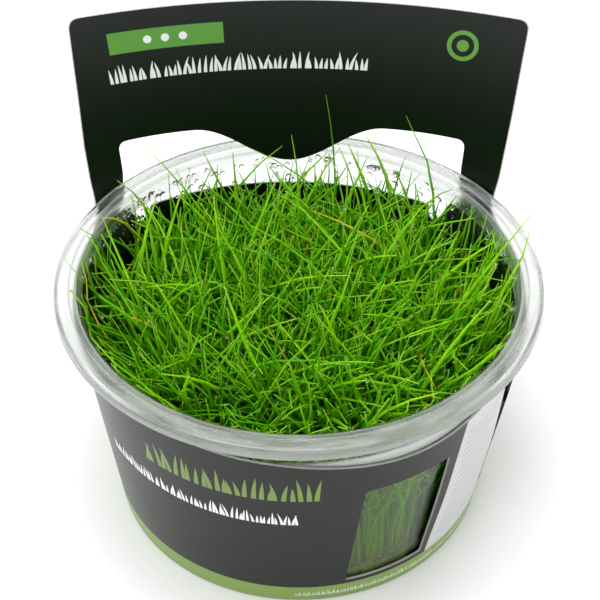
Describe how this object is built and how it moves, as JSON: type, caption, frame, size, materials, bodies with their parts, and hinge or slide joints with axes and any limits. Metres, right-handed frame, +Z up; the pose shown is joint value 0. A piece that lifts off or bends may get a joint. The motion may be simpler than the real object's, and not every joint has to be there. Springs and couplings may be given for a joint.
{
  "type": "potted dwarf hairgrass",
  "caption": "Dense dwarf hairgrass growing in a clear flanged plastic cup, wrapped in a printed card sleeve with a window and a stand-up header.",
  "frame": {"origin": "centre of the cup's foot ring, on the surface that it stands on", "axes": "+Z up along the cup's axis, the header card stands at +Y and the front of the sleeve faces -Y"},
  "size_m": [0.1014, 0.1014, 0.0974],
  "materials": {
    "clear_plastic": "clear, thin, thermoformed plastic, milky at the rim",
    "printed_card": "satin coated card printed near-black on both sides with a green band, with a pale core at its cut edges",
    "growing_gel": "translucent growing gel full of roots",
    "hairgrass": "fresh bright green blades, satin and slightly translucent, with a few yellow tips"
  },
  "bodies": {
    "root": {"cup": "clear_plastic", "card_sleeve": "printed_card", "growing_gel": "growing_gel", "tuft_01": "hairgrass", "tuft_02": "hairgrass", "tuft_03": "hairgrass", "tuft_04": "hairgrass", "tuft_05": "hairgrass", "tuft_06": "hairgrass", "tuft_07": "hairgrass", "tuft_08": "hairgrass", "tuft_09": "hairgrass", "tuft_10": "hairgrass", "tuft_11": "hairgrass", "tuft_12": "hairgrass", "tuft_13": "hairgrass", "tuft_14": "hairgrass", "tuft_15": "hairgrass", "tuft_16": "hairgrass", "tuft_17": "hairgrass", "tuft_18": "hairgrass", "tuft_19": "hairgrass"}
  },
  "joints": []
}
